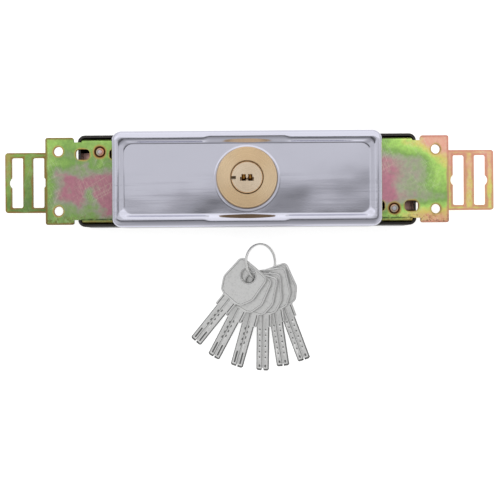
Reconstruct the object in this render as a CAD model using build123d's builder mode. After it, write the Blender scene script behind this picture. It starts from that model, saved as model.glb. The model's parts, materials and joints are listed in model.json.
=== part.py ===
from build123d import *
from math import acos, asin, atan, cos, degrees, pi, radians, sin, sqrt, tan
import os

os.makedirs("parts", exist_ok=True)

# Garage door lock lying on its back, tongues thrown, with its keys on a ring laid below it.
# Millimetres. +X runs along the tongues, +Y across them, +Z out of the face with the keyway.
# The origin is on the back of the tray, on the axis of the key cylinder.

# Fits and clearances
running_fit = 0.05
sliding_fit = 0.2

# Tray: the black steel box
tray_length = 210.0
tray_width = 56.8
tray_wall = 1.5
tray_rim = 23.4
tray_corner = 4.5
tray_back_edge = 2.0

# Front plate: folded sheet with an ear at each end
sheet = 2.0
plate_face = 24.0
plate_side_gap = 0.9
plate_bend = 2.8
plate_flange_depth = 8.0
notch_length = 5.0
notch_into_tray = 2.5
notch_depth = 1.9
ear_length = 17.5
ear_width = 54.0
ear_corner = 1.3
ear_hole_inset_x = 8.0
ear_hole_pitch_y = 37.0
ear_hole_radius = 2.9

# Windows and rivet seats beside the cover, at +Y on the left and -Y on the right
window_width = 6.5
window_length = 8.6
window_corner = 2.3
window_y = 16.55
outer_window_x = 101.9
inner_window_x = 81.0
rivet_x = 91.2
rivet_y = 18.1
rivet_seat_radius = 3.6
rivet_head_radius = 2.8
rivet_drop = 0.5
rivet_edge = 0.5
rivet_crown = 0.1
rivet_tail_radius = 3.0
rivet_tail_height = 0.8

# Tongues
bolt_thickness = 2.0
bolt_underside = 12.0
left_reach = 48.1
right_reach = 50.9
shoulder_reach = 19.5
head_width = 38.0
head_corner = 1.8
slot_length_y = 31.6
slot_width = 7.3
slot_corner = 1.2
left_slot_inset = 4.0
right_slot_inset = 5.0
slot_bridge = 6.1
slot_notch_radius = 4.0
slot_notch_depth = 1.5
neck_width = 28.0
neck_inner_end = 58.0
stop_width = 3.7
stop_reach = 4.6
stop_gap = 0.1

# Rack and pinion
gear_module = 1.0
pinion_teeth = 12
pressure_angle = 25.0
tooth_play = 0.06
rack_back_height = 5.75
pinion_journal_radius = 4.0
pinion_journal_depth = 3.2
pinion_proud = 1.0
tang_width = 4.6

# Bridge under the racks
bridge_length = 64.0
bridge_sheet = 2.0
bridge_foot = 10.0
bridge_lip_height = 2.8
bridge_lip_length = 52.0
bridge_rivet_pitch_y = 12.0
bridge_rivet_radius = 2.0
bridge_rivet_head = 3.4
bridge_rivet_dome = 1.4

# Key cylinder
barrel_radius = 14.0
barrel_flat = 13.0
barrel_end = 17.25
barrel_chamfer = 0.6
flange_overhang = 4.7
flange_face_overhang = 3.3
flange_height = 7.0
flange_edge = 0.9
flange_foot = 1.2
plug_radius = 7.5
plug_head_radius = 9.6
plug_head_height = 3.0
plug_recess = 0.2
plug_edge_chamfer = 0.6
plug_mouth_gap = 0.55
plug_mouth_depth = 2.2
plug_mark_length = 2.5
plug_mark_width = 1.0
plug_mark_depth = 1.6
plug_mark_inset = 0.3
tail_length = 0.6
tang_end_play = 0.4
circlip_thickness = 0.9
circlip_depth = 1.2
circlip_radius = 9.2

# Keyway and pins
keyway_width = 8.2
keyway_y = -1.0
keyway_rib_width = 0.8
keyway_play = 0.15
keyway_run_out = 1.5
keyway_relief = 1.7
pin_radius = 1.2
pin_row_x = 2.0
pin_pitch = 3.4
pin_count = 5
first_pin_z = 34.4
pin_tip_y = -0.6
pin_cone = 0.7
driver_length = 2.0
chamber_plug_length = 1.2
spring_play = 0.15
spring_wire = 0.4

# Nut and washer behind the plate
nut_wall = 3.0
nut_height = 3.0
nut_chamfer = 1.2
washer_border = 2.8
washer_thickness = 1.0

# Cover
cover_length = 164.2
cover_side_gap = 0.1
cover_wall = 0.7
cover_height = 13.0
cover_corner = 6.0
cover_roll = 4.6
cover_rim = 5.0
cover_slope = 3.3
recess_corner = 5.0
cover_recess = 1.8
cover_lap = 5.0
seat_border = 2.6
seat_slope = 2.0
seat_height = 0.9

# Spacer posts
post_x = 52.0
post_y = 19.5
post_radius = 3.5
post_spigot_radius = 2.2
post_head_height = 0.8
post_head_flat = 0.7

# Leaf springs
leaf_thickness = 0.5
leaf_width = 7.6
leaf_reach = 13.0
leaf_toe = 2.5
leaf_toe_rise = 1.0

# Keys
key_thickness = 2.0
bow_top_width = 22.4
bow_width = 25.0
bow_side = 17.5
bow_taper = 8.9
bow_shoulder_width = 17.0
bow_shoulder = 1.2
bow_corner = 3.4
bow_side_round = 6.0
bow_rim = 1.1
bow_field_depth = 0.2
bow_hole_radius = 2.35 * key_thickness
bow_hole_inset = 7.0
blade_width = 8.2
blade_length = 36.6
blade_fin_width = 1.3
blade_fin_length = 8.2
blade_groove_depth = 0.7
blade_tip_corner = 0.9

# Ring, and how the fan of keys lies on it. The keys share one slope, the first key on top.
# The slopes and the climb of the ring follow the height of one level of the stack.
ring_radius = 11.4
ring_wire_radius = 0.75
ring_turn = 2.3
ring_x = 8.3
ring_y = -51.3
key_gap = 0.25
level_height = key_thickness + key_gap
ring_climb = 2.935 * level_height
ring_lift = 0.675 * level_height
fan_slope_x = 0.119 * level_height
fan_slope_y = 0.021 * level_height
fan_hole_x = (0.4, 3.3, 7.35, 10.1, 14.3, 16.7)
fan_hole_y = (-59.7, -63.6, -64.9, -64.95, -62.5, -61.4)
fan_lean = (41.0, 29.9, 17.3, 1.8, -8.2, -20.8)

# Levels worked out from the sizes above
tray_half_length = tray_length / 2
tray_half_width = tray_width / 2
tray_inside_y = tray_half_width - tray_wall
tray_inside_x = tray_half_length - tray_wall
plate_back = plate_face - sheet
plate_half_width = tray_inside_y - plate_side_gap
notch_start = tray_half_length - notch_into_tray
ear_start = notch_start + notch_length
ear_end = ear_start + ear_length
notch_half_width = plate_half_width - notch_depth
ear_hole_x = ear_end - ear_hole_inset_x
bolt_top = bolt_underside + bolt_thickness
neck_half_width = neck_width / 2
stop_outer_x = tray_inside_x - stop_gap

pitch_radius = gear_module * pinion_teeth / 2
tooth_pitch = pi * gear_module
tooth_tip = gear_module
tooth_root = 1.25 * gear_module
bolt_travel = pitch_radius * pi
rack_back_y = -(pitch_radius + tooth_root + rack_back_height)
rack_root_y = -(pitch_radius + tooth_root)
pinion_top = bolt_top + pinion_proud
bridge_top = bolt_underside - sliding_fit
bridge_underside = bridge_top - bridge_sheet

cover_top = plate_face + cover_height
cover_half_width = tray_half_width + cover_side_gap + cover_wall
panel_top = cover_top - cover_recess
seat_top = panel_top + seat_height
flange_radius = barrel_radius + flange_overhang
flange_face_radius = barrel_radius + flange_face_overhang
seat_radius = flange_radius + seat_border
nut_across_flats = 2 * (barrel_radius + nut_wall)
washer_radius = barrel_radius + washer_border
cylinder_face = seat_top + flange_height
plug_face = cylinder_face - plug_recess
plug_head_back = plug_face - plug_head_height
circlip_top = barrel_end - 2 * running_fit
circlip_bottom = circlip_top - circlip_thickness
circlip_groove_radius = plug_radius - circlip_depth
tail_end = circlip_bottom - tail_length
keyway_end = barrel_end + keyway_run_out
keyway_height = key_thickness + 2 * keyway_play
rib_gap = key_thickness - 2 * blade_groove_depth + 2 * keyway_play
groove_width = keyway_rib_width + 2 * keyway_play
chamber_radius = pin_radius + running_fit
key_pin_end = sqrt((plug_radius - running_fit) ** 2 - (pin_row_x + pin_radius) ** 2)
driver_start = plug_radius + 2 * running_fit
driver_end = driver_start + driver_length
chamber_end = sqrt(barrel_radius**2 - (pin_row_x + pin_radius) ** 2)
spring_end = chamber_end - chamber_plug_length

left = 180.0
right = 0.0


def pin_levels():
    return [first_pin_z - pin_pitch * index for index in range(pin_count)]


def save(name, part):
    part.label = name
    export_step(part, f"parts/{name}.step")


def double_flat(radius, flat):
    # round outline with a flat on each side, in the current sketch
    Circle(radius)
    Rectangle(2 * flat, 2 * radius, mode=Mode.INTERSECT)


# Tray
with BuildPart() as tray:
    with BuildSketch():
        RectangleRounded(tray_length, tray_width, tray_corner)
    extrude(amount=tray_rim)
    fillet(tray.faces().sort_by(Axis.Z)[0].edges(), tray_back_edge)
    with BuildSketch(Plane.XY.offset(tray_wall)):
        RectangleRounded(2 * tray_inside_x, 2 * tray_inside_y, tray_corner - tray_wall)
    extrude(amount=tray_rim, mode=Mode.SUBTRACT)
    # Each end wall is lower where the plate passes over it.
    with BuildSketch(Plane.XY.offset(plate_back)):
        Rectangle(tray_length + 2, 2 * (notch_half_width + sliding_fit))
    extrude(amount=tray_rim, mode=Mode.SUBTRACT)
    # Slots for the necks of the tongues
    with BuildSketch(Plane.YZ.offset(-tray_half_length - 1)):
        with Locations((0, bolt_underside + bolt_thickness / 2)):
            Rectangle(neck_width + 2 * sliding_fit, bolt_thickness + 2 * sliding_fit)
    extrude(amount=tray_length + 2, mode=Mode.SUBTRACT)
    with Locations(Plane.XY.offset(tray_wall)):
        with GridLocations(2 * post_x, 2 * post_y, 2, 2):
            Hole(post_spigot_radius, depth=2 * tray_wall)
        with GridLocations(bridge_length + bridge_foot, bridge_rivet_pitch_y, 2, 2):
            Hole(bridge_rivet_radius, depth=2 * tray_wall)
save("tray", tray.part)


# Front plate: a shallow channel between the notches, then a neck and an ear at each end
with BuildPart() as front_plate:
    with BuildSketch(Plane.YZ.offset(-notch_start)):
        with Locations((0, plate_face)):
            Rectangle(2 * plate_half_width, plate_flange_depth, align=(Align.CENTER, Align.MAX))
        with Locations((0, plate_back)):
            Rectangle(
                2 * (plate_half_width - sheet),
                plate_flange_depth,
                align=(Align.CENTER, Align.MAX),
                mode=Mode.SUBTRACT,
            )
    extrude(amount=2 * notch_start)
    bends = front_plate.edges().filter_by(Axis.X)
    fillet(bends.group_by(Axis.Z)[-1], plate_bend)
    inner_bends = front_plate.edges().filter_by(Axis.X).filter_by_position(
        Axis.Z, plate_back - 0.01, plate_back + 0.01
    )
    fillet(inner_bends, plate_bend - sheet)
    with BuildSketch(Plane.XY.offset(plate_back)):
        Rectangle(2 * ear_start + 1, 2 * notch_half_width)
        with GridLocations(2 * (ear_start + ear_length / 2), 0, 2, 1):
            RectangleRounded(ear_length, ear_width, ear_corner)
    extrude(amount=sheet)
    # Cylinder hole, ear holes and the holes for the posts
    with BuildSketch(Plane.XY.offset(plate_back - 1)):
        double_flat(barrel_radius + sliding_fit, barrel_flat + sliding_fit)
        with GridLocations(2 * ear_hole_x, ear_hole_pitch_y, 2, 2):
            Circle(ear_hole_radius)
        with GridLocations(2 * post_x, 2 * post_y, 2, 2):
            Circle(post_spigot_radius)
        # Windows over the path of the stop tabs
        for turn in (left, right):
            with Locations(Location((0, 0, 0), (0, 0, turn))):
                with Locations((outer_window_x, -window_y), (inner_window_x, -window_y)):
                    RectangleRounded(window_length, window_width, window_corner)
    extrude(amount=sheet + 2, mode=Mode.SUBTRACT)
    for turn in (left, right):
        with Locations(Plane.XY.offset(plate_face).rotated((0, 0, turn))):
            with Locations((rivet_x, -rivet_y)):
                CounterSinkHole(bridge_rivet_radius, rivet_seat_radius, depth=sheet + 1)
save("front_plate", front_plate.part)


def cover_shape(inset):
    # the pressed form of the cover, drawn in from its outside by the inset
    width = 2 * cover_half_width
    slope_shift = inset * tan(atan(cover_recess / cover_slope) / 2)
    seat_shift = inset * tan(atan(seat_height / seat_slope) / 2)
    with BuildPart() as form:
        with BuildSketch(Plane.XY.offset(plate_face - 2 * cover_lap)):
            RectangleRounded(cover_length - 2 * inset, width - 2 * inset, cover_corner - inset)
        extrude(amount=cover_height + 2 * cover_lap - inset)
        fillet(form.faces().sort_by(Axis.Z)[-1].edges(), cover_roll - inset)
        # The recessed panel, with sloping sides
        for level, drawn_in in ((cover_top, cover_rim), (panel_top, cover_rim + cover_slope)):
            with BuildSketch(Plane.XY.offset(level - inset)):
                inward = 2 * (drawn_in - slope_shift)
                RectangleRounded(cover_length - inward, width - inward, recess_corner)
        loft(mode=Mode.SUBTRACT)
        # The low round seat under the flange of the cylinder
        for level, radius in ((panel_top, seat_radius), (seat_top, seat_radius - seat_slope)):
            with BuildSketch(Plane.XY.offset(level - inset)):
                Circle(radius - seat_shift)
        loft()
    return form.part


cover_outside = cover_shape(0)
cover_inside = cover_shape(cover_wall)
with BuildPart() as cover:
    add(cover_outside)
    add(cover_inside, mode=Mode.SUBTRACT)
    # The long sides lap the tray, the short sides stand on the plate.
    with BuildSketch(Plane.XY.offset(plate_face)):
        Rectangle(2 * cover_length, 2 * (tray_half_width + cover_side_gap))
        with GridLocations(cover_length - cover_corner, 0, 2, 1):
            Rectangle(cover_corner, 3 * cover_half_width)
    extrude(amount=-3 * cover_lap, mode=Mode.SUBTRACT)
    with BuildSketch(Plane.XY.offset(plate_face - cover_lap)):
        Rectangle(2 * cover_length, 3 * cover_half_width)
    extrude(amount=-2 * cover_lap, mode=Mode.SUBTRACT)
    with BuildSketch(Plane.XY.offset(panel_top - 2 * cover_wall)):
        double_flat(barrel_radius + sliding_fit, barrel_flat + sliding_fit)
    extrude(amount=cover_height, mode=Mode.SUBTRACT)
save("cover", cover.part)


# Cylinder: conical flange on the cover, barrel with two flats through cover and plate
with BuildPart() as cylinder_body:
    with BuildSketch(Plane.XZ):
        with BuildLine():
            Polyline(
                (0, barrel_end),
                (barrel_radius - barrel_chamfer, barrel_end),
                (barrel_radius, barrel_end + barrel_chamfer),
                (barrel_radius, seat_top),
                (flange_radius, seat_top),
                (flange_radius, seat_top + flange_foot),
                (flange_face_radius + flange_edge / 3, cylinder_face - flange_edge),
                (flange_face_radius - flange_edge / 3, cylinder_face),
                (0, cylinder_face),
                close=True,
            )
        make_face()
    revolve(axis=Axis.Z)
    with BuildSketch(Plane.XY.offset(barrel_end)):
        Circle(2 * barrel_radius)
        Rectangle(2 * barrel_flat, 4 * barrel_radius, mode=Mode.SUBTRACT)
    extrude(amount=seat_top - barrel_end, mode=Mode.SUBTRACT)
    with BuildSketch(Plane.XY.offset(barrel_end - 1)):
        Circle(plug_radius + running_fit)
    extrude(amount=cylinder_face, mode=Mode.SUBTRACT)
    with BuildSketch(Plane.XY.offset(plug_head_back - running_fit)):
        Circle(plug_head_radius + running_fit)
    extrude(amount=cylinder_face, mode=Mode.SUBTRACT)
    # Open groove round the head of the plug
    with BuildSketch(Plane.XY.offset(cylinder_face - plug_mouth_depth)):
        Circle(plug_head_radius + plug_mouth_gap)
    extrude(amount=cylinder_face, mode=Mode.SUBTRACT)
    for level in pin_levels():
        with BuildSketch(Plane.XZ.offset(-plug_radius + 1)):
            with Locations((-pin_row_x, level), (pin_row_x, level)):
                Circle(chamber_radius)
        extrude(amount=-barrel_radius, mode=Mode.SUBTRACT)
save("cylinder_body", cylinder_body.part)


# Plug: turned core with the keyway along it and a square tang for the pinion
with BuildPart() as plug:
    with BuildSketch(Plane.XZ):
        with BuildLine():
            Polyline(
                (0, tail_end),
                (plug_radius, tail_end),
                (plug_radius, circlip_bottom),
                (circlip_groove_radius, circlip_bottom),
                (circlip_groove_radius, circlip_top),
                (plug_radius, circlip_top),
                (plug_radius, plug_head_back),
                (plug_head_radius, plug_head_back),
                (plug_head_radius, plug_face),
                (0, plug_face),
                close=True,
            )
        make_face()
    revolve(axis=Axis.Z)
    rim = plug.edges().filter_by(GeomType.CIRCLE).group_by(Axis.Z)[-1]
    chamfer(rim, plug_edge_chamfer)
    # Keyway with a rib on each long side
    with BuildSketch(Plane.XY.offset(keyway_end)):
        with Locations((0, keyway_y)):
            Rectangle(keyway_width, keyway_height)
        rib_height = (keyway_height - rib_gap) / 2
        rib_offset = (keyway_height + rib_gap) / 4
        with Locations((0, keyway_y + rib_offset), (0, keyway_y - rib_offset)):
            Rectangle(keyway_rib_width, rib_height, mode=Mode.SUBTRACT)
    extrude(amount=plug_face, mode=Mode.SUBTRACT)
    # Open relief over each row of pins, so that the first pins are seen from the front
    with BuildSketch(Plane.XY.offset(first_pin_z)):
        with Locations((-pin_row_x, keyway_y), (pin_row_x, keyway_y)):
            relief_height = keyway_height / 2 + keyway_relief
            Rectangle(2 * chamber_radius, relief_height, align=(Align.CENTER, Align.MIN))
    extrude(amount=plug_face, mode=Mode.SUBTRACT)
    # Short radial mark on the face
    with BuildSketch(Plane.XY.offset(plug_face - plug_mark_depth)):
        with Locations((-plug_head_radius + plug_mark_inset, keyway_y)):
            Rectangle(plug_mark_length, plug_mark_width, align=(Align.MIN, Align.CENTER))
    extrude(amount=plug_face, mode=Mode.SUBTRACT)
    for level in pin_levels():
        with BuildSketch(Plane.XZ.offset(-keyway_y)):
            with Locations((-pin_row_x, level), (pin_row_x, level)):
                Circle(chamber_radius)
        extrude(amount=-barrel_radius, mode=Mode.SUBTRACT)
    with BuildSketch(Plane.XY.offset(tail_end)):
        Rectangle(tang_width, tang_width)
    extrude(amount=-(tail_end - bolt_underside - tang_end_play))
save("plug", plug.part)


def pin_rows(start, end, radius, bore=0.0):
    # ten round pieces along +Y, one in each chamber
    with BuildPart() as rows:
        for level in pin_levels():
            with BuildSketch(Plane.XZ.offset(-start)):
                with Locations((-pin_row_x, level), (pin_row_x, level)):
                    Circle(radius)
                    if bore:
                        Circle(bore, mode=Mode.SUBTRACT)
            extrude(amount=-(end - start))
    return rows.part


save("driver_pins", pin_rows(driver_start, driver_end, pin_radius))
save("chamber_plugs", pin_rows(spring_end, chamber_end, pin_radius))
# Springs as plain sleeves of the coils' outside and inside size
spring_radius = pin_radius - spring_play
save("pin_springs", pin_rows(driver_end, spring_end, spring_radius, spring_radius - spring_wire))

# Key pins, each with a conical tip in the keyway
with BuildPart() as key_pins:
    for level in pin_levels():
        for row in (-pin_row_x, pin_row_x):
            with BuildSketch(Plane.XY.offset(level)):
                with BuildLine():
                    Polyline(
                        (row, pin_tip_y),
                        (row + pin_radius - pin_cone, pin_tip_y),
                        (row + pin_radius, pin_tip_y + pin_cone),
                        (row + pin_radius, key_pin_end),
                        (row, key_pin_end),
                        close=True,
                    )
                make_face()
            revolve(axis=Axis((row, 0, level), (0, 1, 0)))
save("key_pins", key_pins.part)

# Circlip in the groove behind the barrel
with BuildPart() as plug_circlip:
    with BuildSketch(Plane.XY.offset(circlip_bottom + running_fit)):
        Circle(circlip_radius)
        Circle(circlip_groove_radius + running_fit, mode=Mode.SUBTRACT)
        with Locations((0, -circlip_radius)):
            Rectangle(circlip_groove_radius, 2 * circlip_radius, mode=Mode.SUBTRACT)
    extrude(amount=circlip_thickness - 2 * running_fit)
save("plug_circlip", plug_circlip.part)

# Washer and nut that clamp the cylinder behind the plate
with BuildPart() as lock_washer:
    with BuildSketch(Plane.XY.offset(plate_back)):
        Circle(washer_radius)
    extrude(amount=-washer_thickness)
    with BuildSketch(Plane.XY.offset(plate_back)):
        double_flat(barrel_radius + running_fit, barrel_flat + running_fit)
    extrude(amount=-washer_thickness, mode=Mode.SUBTRACT)
save("lock_washer", lock_washer.part)

with BuildPart() as cylinder_nut:
    with BuildSketch(Plane.XY.offset(plate_back - washer_thickness)):
        RegularPolygon(nut_across_flats / 2, 6, major_radius=False)
        Circle(barrel_radius + running_fit, mode=Mode.SUBTRACT)
    extrude(amount=-nut_height)
    with BuildSketch(Plane.XZ):
        with BuildLine():
            nut_corner = nut_across_flats / 2 / cos(radians(30))
            nut_bottom = plate_back - washer_thickness - nut_height
            Polyline(
                (nut_across_flats / 2, nut_bottom),
                (nut_corner + 1, nut_bottom),
                (nut_corner + 1, nut_bottom + nut_chamfer),
                close=True,
            )
        make_face()
    revolve(axis=Axis.Z, mode=Mode.SUBTRACT)
save("cylinder_nut", cylinder_nut.part)


def involute_point(radius, side):
    # point of a tooth flank at a radius, for the tooth centred on +X
    base = pitch_radius * cos(radians(pressure_angle))
    half_tooth = pi / (2 * pinion_teeth) - tooth_play / pitch_radius
    at_pitch = tan(radians(pressure_angle)) - radians(pressure_angle)
    angle_here = acos(min(1.0, base / radius))
    spread = half_tooth + at_pitch - (tan(angle_here) - angle_here)
    return (radius * cos(spread), side * radius * sin(spread))


root_radius = pitch_radius - tooth_root
tip_radius = pitch_radius + tooth_tip
base_radius = pitch_radius * cos(radians(pressure_angle))

# One tooth of the pinion, centred on +X, with its flanks as arcs close to the involute
with BuildSketch() as pinion_tooth:
    with BuildLine():
        low = involute_point(base_radius, 1)
        tip = involute_point(tip_radius, 1)
        ThreePointArc(low, involute_point(pitch_radius, 1), tip)
        ThreePointArc(tip, (tip_radius, 0), (tip[0], -tip[1]))
        ThreePointArc((tip[0], -tip[1]), involute_point(pitch_radius, -1), (low[0], -low[1]))
        Polyline((low[0], -low[1]), (root_radius * 0.9, -low[1]), (root_radius * 0.9, low[1]), low)
    make_face()

# Pinion: twelve teeth, a journal that turns in the bridge and a square socket for the tang
with BuildPart() as drive_pinion:
    with BuildSketch(Plane.XY.offset(bolt_underside)):
        Circle(root_radius)
        with PolarLocations(0, pinion_teeth):
            add(pinion_tooth.sketch)
    extrude(amount=pinion_top - bolt_underside)
    with BuildSketch(Plane.XY.offset(bolt_underside)):
        Circle(pinion_journal_radius)
    extrude(amount=-pinion_journal_depth)
    with BuildSketch(Plane.XY.offset(bolt_underside + tang_end_play / 2)):
        Rectangle(tang_width + 2 * running_fit, tang_width + 2 * running_fit)
    extrude(amount=pinion_top, mode=Mode.SUBTRACT)
save("drive_pinion", drive_pinion.part)

# Bridge: folded strip that carries the pinion, with a lip along each rack
with BuildPart() as pinion_bridge:
    lip_inside = -rack_back_y + sliding_fit
    bridge_half_width = lip_inside + bridge_sheet
    foot_level = tray_wall
    with BuildSketch(Plane.XZ.offset(-bridge_half_width)):
        with BuildLine():
            Polyline(
                (-bridge_length / 2 - bridge_foot, foot_level),
                (-bridge_length / 2 + bridge_sheet, foot_level),
                (-bridge_length / 2 + bridge_sheet, bridge_underside),
                (bridge_length / 2 - bridge_sheet, bridge_underside),
                (bridge_length / 2 - bridge_sheet, foot_level),
                (bridge_length / 2 + bridge_foot, foot_level),
                (bridge_length / 2 + bridge_foot, foot_level + bridge_sheet),
                (bridge_length / 2, foot_level + bridge_sheet),
                (bridge_length / 2, bridge_top),
                (-bridge_length / 2, bridge_top),
                (-bridge_length / 2, foot_level + bridge_sheet),
                (-bridge_length / 2 - bridge_foot, foot_level + bridge_sheet),
                close=True,
            )
        make_face()
    extrude(amount=2 * bridge_half_width)
    with BuildSketch(Plane.XY.offset(bridge_top)):
        with GridLocations(0, 2 * (lip_inside + bridge_sheet / 2), 1, 2):
            Rectangle(bridge_lip_length, bridge_sheet)
    extrude(amount=bridge_lip_height)
    with BuildSketch(Plane.XY.offset(bridge_underside - 1)):
        Circle(pinion_journal_radius + running_fit)
    extrude(amount=bridge_sheet + 2, mode=Mode.SUBTRACT)
    with BuildSketch(Plane.XY.offset(foot_level - 1)):
        with GridLocations(bridge_length + bridge_foot, bridge_rivet_pitch_y, 2, 2):
            Circle(bridge_rivet_radius)
    extrude(amount=2 * bridge_sheet, mode=Mode.SUBTRACT)
save("pinion_bridge", pinion_bridge.part)


# Domed rivets that fasten the feet of the bridge to the tray, flush outside
with BuildPart() as bridge_rivets:
    head_start = tray_wall + bridge_sheet
    head_end = head_start + bridge_rivet_dome
    dome_radius = (bridge_rivet_dome**2 + bridge_rivet_head**2) / (2 * bridge_rivet_dome)
    half_way = head_end - dome_radius + sqrt(dome_radius**2 - bridge_rivet_head**2 / 4)
    for spot_x in (-(bridge_length + bridge_foot) / 2, (bridge_length + bridge_foot) / 2):
        for spot_y in (-bridge_rivet_pitch_y / 2, bridge_rivet_pitch_y / 2):
            with BuildSketch(Plane((spot_x, spot_y, 0), x_dir=(1, 0, 0), z_dir=(0, -1, 0))):
                with BuildLine():
                    Polyline(
                        (0, head_end),
                        (0, 0),
                        (bridge_rivet_radius, 0),
                        (bridge_rivet_radius, head_start),
                        (bridge_rivet_head, head_start),
                    )
                    ThreePointArc(
                        (bridge_rivet_head, head_start), (bridge_rivet_head / 2, half_way), (0, head_end)
                    )
                make_face()
            revolve(axis=Axis((spot_x, spot_y, 0), (0, 0, 1)))
save("bridge_rivets", bridge_rivets.part)

# Flush rivets that hold the leaf springs, seated in the countersinks of the plate
with BuildPart() as spring_rivets:
    for side in (-1, 1):
        spot = (side * rivet_x, -side * rivet_y)
        with BuildSketch(Plane((*spot, 0), x_dir=(1, 0, 0), z_dir=(0, -1, 0))):
            with BuildLine():
                shank_end = plate_back - leaf_thickness
                shoulder = plate_face - (rivet_seat_radius - bridge_rivet_radius)
                crown = plate_face - rivet_drop + 2 * rivet_crown
                Polyline(
                    (0, crown + rivet_crown),
                    (0, shank_end - rivet_tail_height),
                    (rivet_tail_radius, shank_end - rivet_tail_height),
                    (rivet_tail_radius, shank_end),
                    (bridge_rivet_radius, shank_end),
                    (bridge_rivet_radius, shoulder),
                    (rivet_head_radius, shoulder + rivet_head_radius - bridge_rivet_radius),
                    (rivet_head_radius - rivet_edge, crown),
                    close=True,
                )
            make_face()
        revolve(axis=Axis((*spot, 0), (0, 0, 1)))
save("spring_rivets", spring_rivets.part)

# Spacer posts: shouldered pins riveted through the tray and the plate
with BuildPart() as spacer_posts:
    for spot_x in (-post_x, post_x):
        for spot_y in (-post_y, post_y):
            with BuildSketch(Plane((spot_x, spot_y, 0), x_dir=(1, 0, 0), z_dir=(0, -1, 0))):
                with BuildLine():
                    Polyline(
                        (0, 0),
                        (post_spigot_radius, 0),
                        (post_spigot_radius, tray_wall),
                        (post_radius, tray_wall),
                        (post_radius, plate_back),
                        (post_spigot_radius, plate_back),
                        (post_spigot_radius, plate_face),
                        (post_radius, plate_face),
                        (post_radius * post_head_flat, plate_face + post_head_height),
                        (0, plate_face + post_head_height),
                        close=True,
                    )
                make_face()
            revolve(axis=Axis((spot_x, spot_y, 0), (0, 0, 1)))
save("spacer_posts", spacer_posts.part)


# One tooth of a rack, standing down from the root line of the right tongue's arm
with BuildSketch() as rack_tooth:
    with BuildLine():
        flank = tan(radians(pressure_angle))
        half_tooth = tooth_pitch / 4 - tooth_play
        half_root = half_tooth + tooth_root * flank
        half_tip = half_tooth - tooth_tip * flank
        tip_y = -rack_root_y - tooth_root - tooth_tip
        Polyline(
            (-half_root, -rack_root_y + tooth_root),
            (-half_root, -rack_root_y),
            (-half_tip, tip_y),
            (half_tip, tip_y),
            (half_root, -rack_root_y),
            (half_root, -rack_root_y + tooth_root),
            close=True,
        )
    make_face()


def tongue(turn, reach, slot_inset):
    # one tongue with its rack arm, drawn for the right end; the left one is turned half round
    base = Plane.XY.offset(bolt_underside).rotated((0, 0, turn))
    head_tip = tray_half_length + reach
    head_shoulder = tray_half_length + shoulder_reach
    head_length = reach - shoulder_reach
    outer_slot_x = head_tip - slot_inset - slot_width / 2
    inner_slot_x = outer_slot_x - slot_width - slot_bridge
    # A gap between two teeth lies on the cylinder axis, and teeth cover the stroke and two more each end.
    tooth_count = int(bolt_travel / tooth_pitch) + 4
    tooth_places = [((index - 1.5) * tooth_pitch, 0) for index in range(tooth_count)]
    arm_end = tooth_places[0][0] - tooth_pitch / 2
    notch_reach = slot_width / 2 + slot_notch_depth - slot_notch_radius
    with BuildPart() as bolt:
        with BuildSketch(base):
            with Locations(((head_tip + head_shoulder) / 2, 0)):
                RectangleRounded(head_length, head_width, head_corner)
            with Locations((head_shoulder + 2 * head_corner, 0)):
                neck_length = head_shoulder + 2 * head_corner - neck_inner_end
                Rectangle(neck_length, neck_width, align=(Align.MAX, Align.CENTER))
            # Stop tab that bears on the end wall of the tray
            with Locations((stop_outer_x, 1 - neck_half_width)):
                Rectangle(stop_width, stop_reach + 1, align=(Align.MAX, Align.MAX))
            # Rack arm
            with Locations((neck_inner_end + 1, -rack_back_y)):
                arm_size = (neck_inner_end + 1 - arm_end, rack_back_height)
                Rectangle(*arm_size, align=(Align.MAX, Align.MAX))
            with Locations(*tooth_places):
                add(rack_tooth.sketch)
            # Slots for the locking bars, each with a round notch
            with Locations((outer_slot_x, 0), (inner_slot_x, 0)):
                RectangleRounded(slot_width, slot_length_y, slot_corner, mode=Mode.SUBTRACT)
            with Locations((outer_slot_x + notch_reach, 0), (inner_slot_x - notch_reach, 0)):
                Circle(slot_notch_radius, mode=Mode.SUBTRACT)
        extrude(amount=bolt_thickness)
    return bolt.part


save("left_bolt", tongue(left, left_reach, left_slot_inset))
save("right_bolt", tongue(right, right_reach, right_slot_inset))


def leaf_spring(turn):
    # leaf under the plate that presses on the neck of the tongue, drawn for the right end
    with BuildPart() as leaf:
        with BuildSketch(Plane.YZ.offset(rivet_x - leaf_width / 2)):
            with BuildLine():
                root = (-rivet_y - leaf_width / 2, plate_back - leaf_thickness / 2)
                knee = (-neck_half_width, plate_back - leaf_thickness / 2)
                touch = (-neck_half_width + leaf_reach, bolt_top + leaf_thickness / 2 + running_fit)
                toe = (touch[0] + leaf_toe, touch[1] + leaf_toe_rise)
                Line(root, knee)
                Spline(knee, touch, tangents=[(1, 0), (1, 0)])
                ThreePointArc(touch, (touch[0] + leaf_toe / 2, touch[1] + leaf_toe_rise / 4), toe)
            trace(line_width=leaf_thickness)
        extrude(amount=leaf_width)
        with BuildSketch(Plane.XY.offset(bolt_top)):
            with Locations((rivet_x, -rivet_y)):
                Circle(bridge_rivet_radius)
        extrude(amount=plate_face, mode=Mode.SUBTRACT)
    return leaf.part.rotate(Axis.Z, turn)


save("right_bolt_spring", leaf_spring(right))
save("left_bolt_spring", leaf_spring(left))


bow_end_y = bow_hole_inset - bow_side - bow_taper
tip_y = bow_end_y - blade_length
fin_half_width = blade_width / 2 + blade_fin_width

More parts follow.
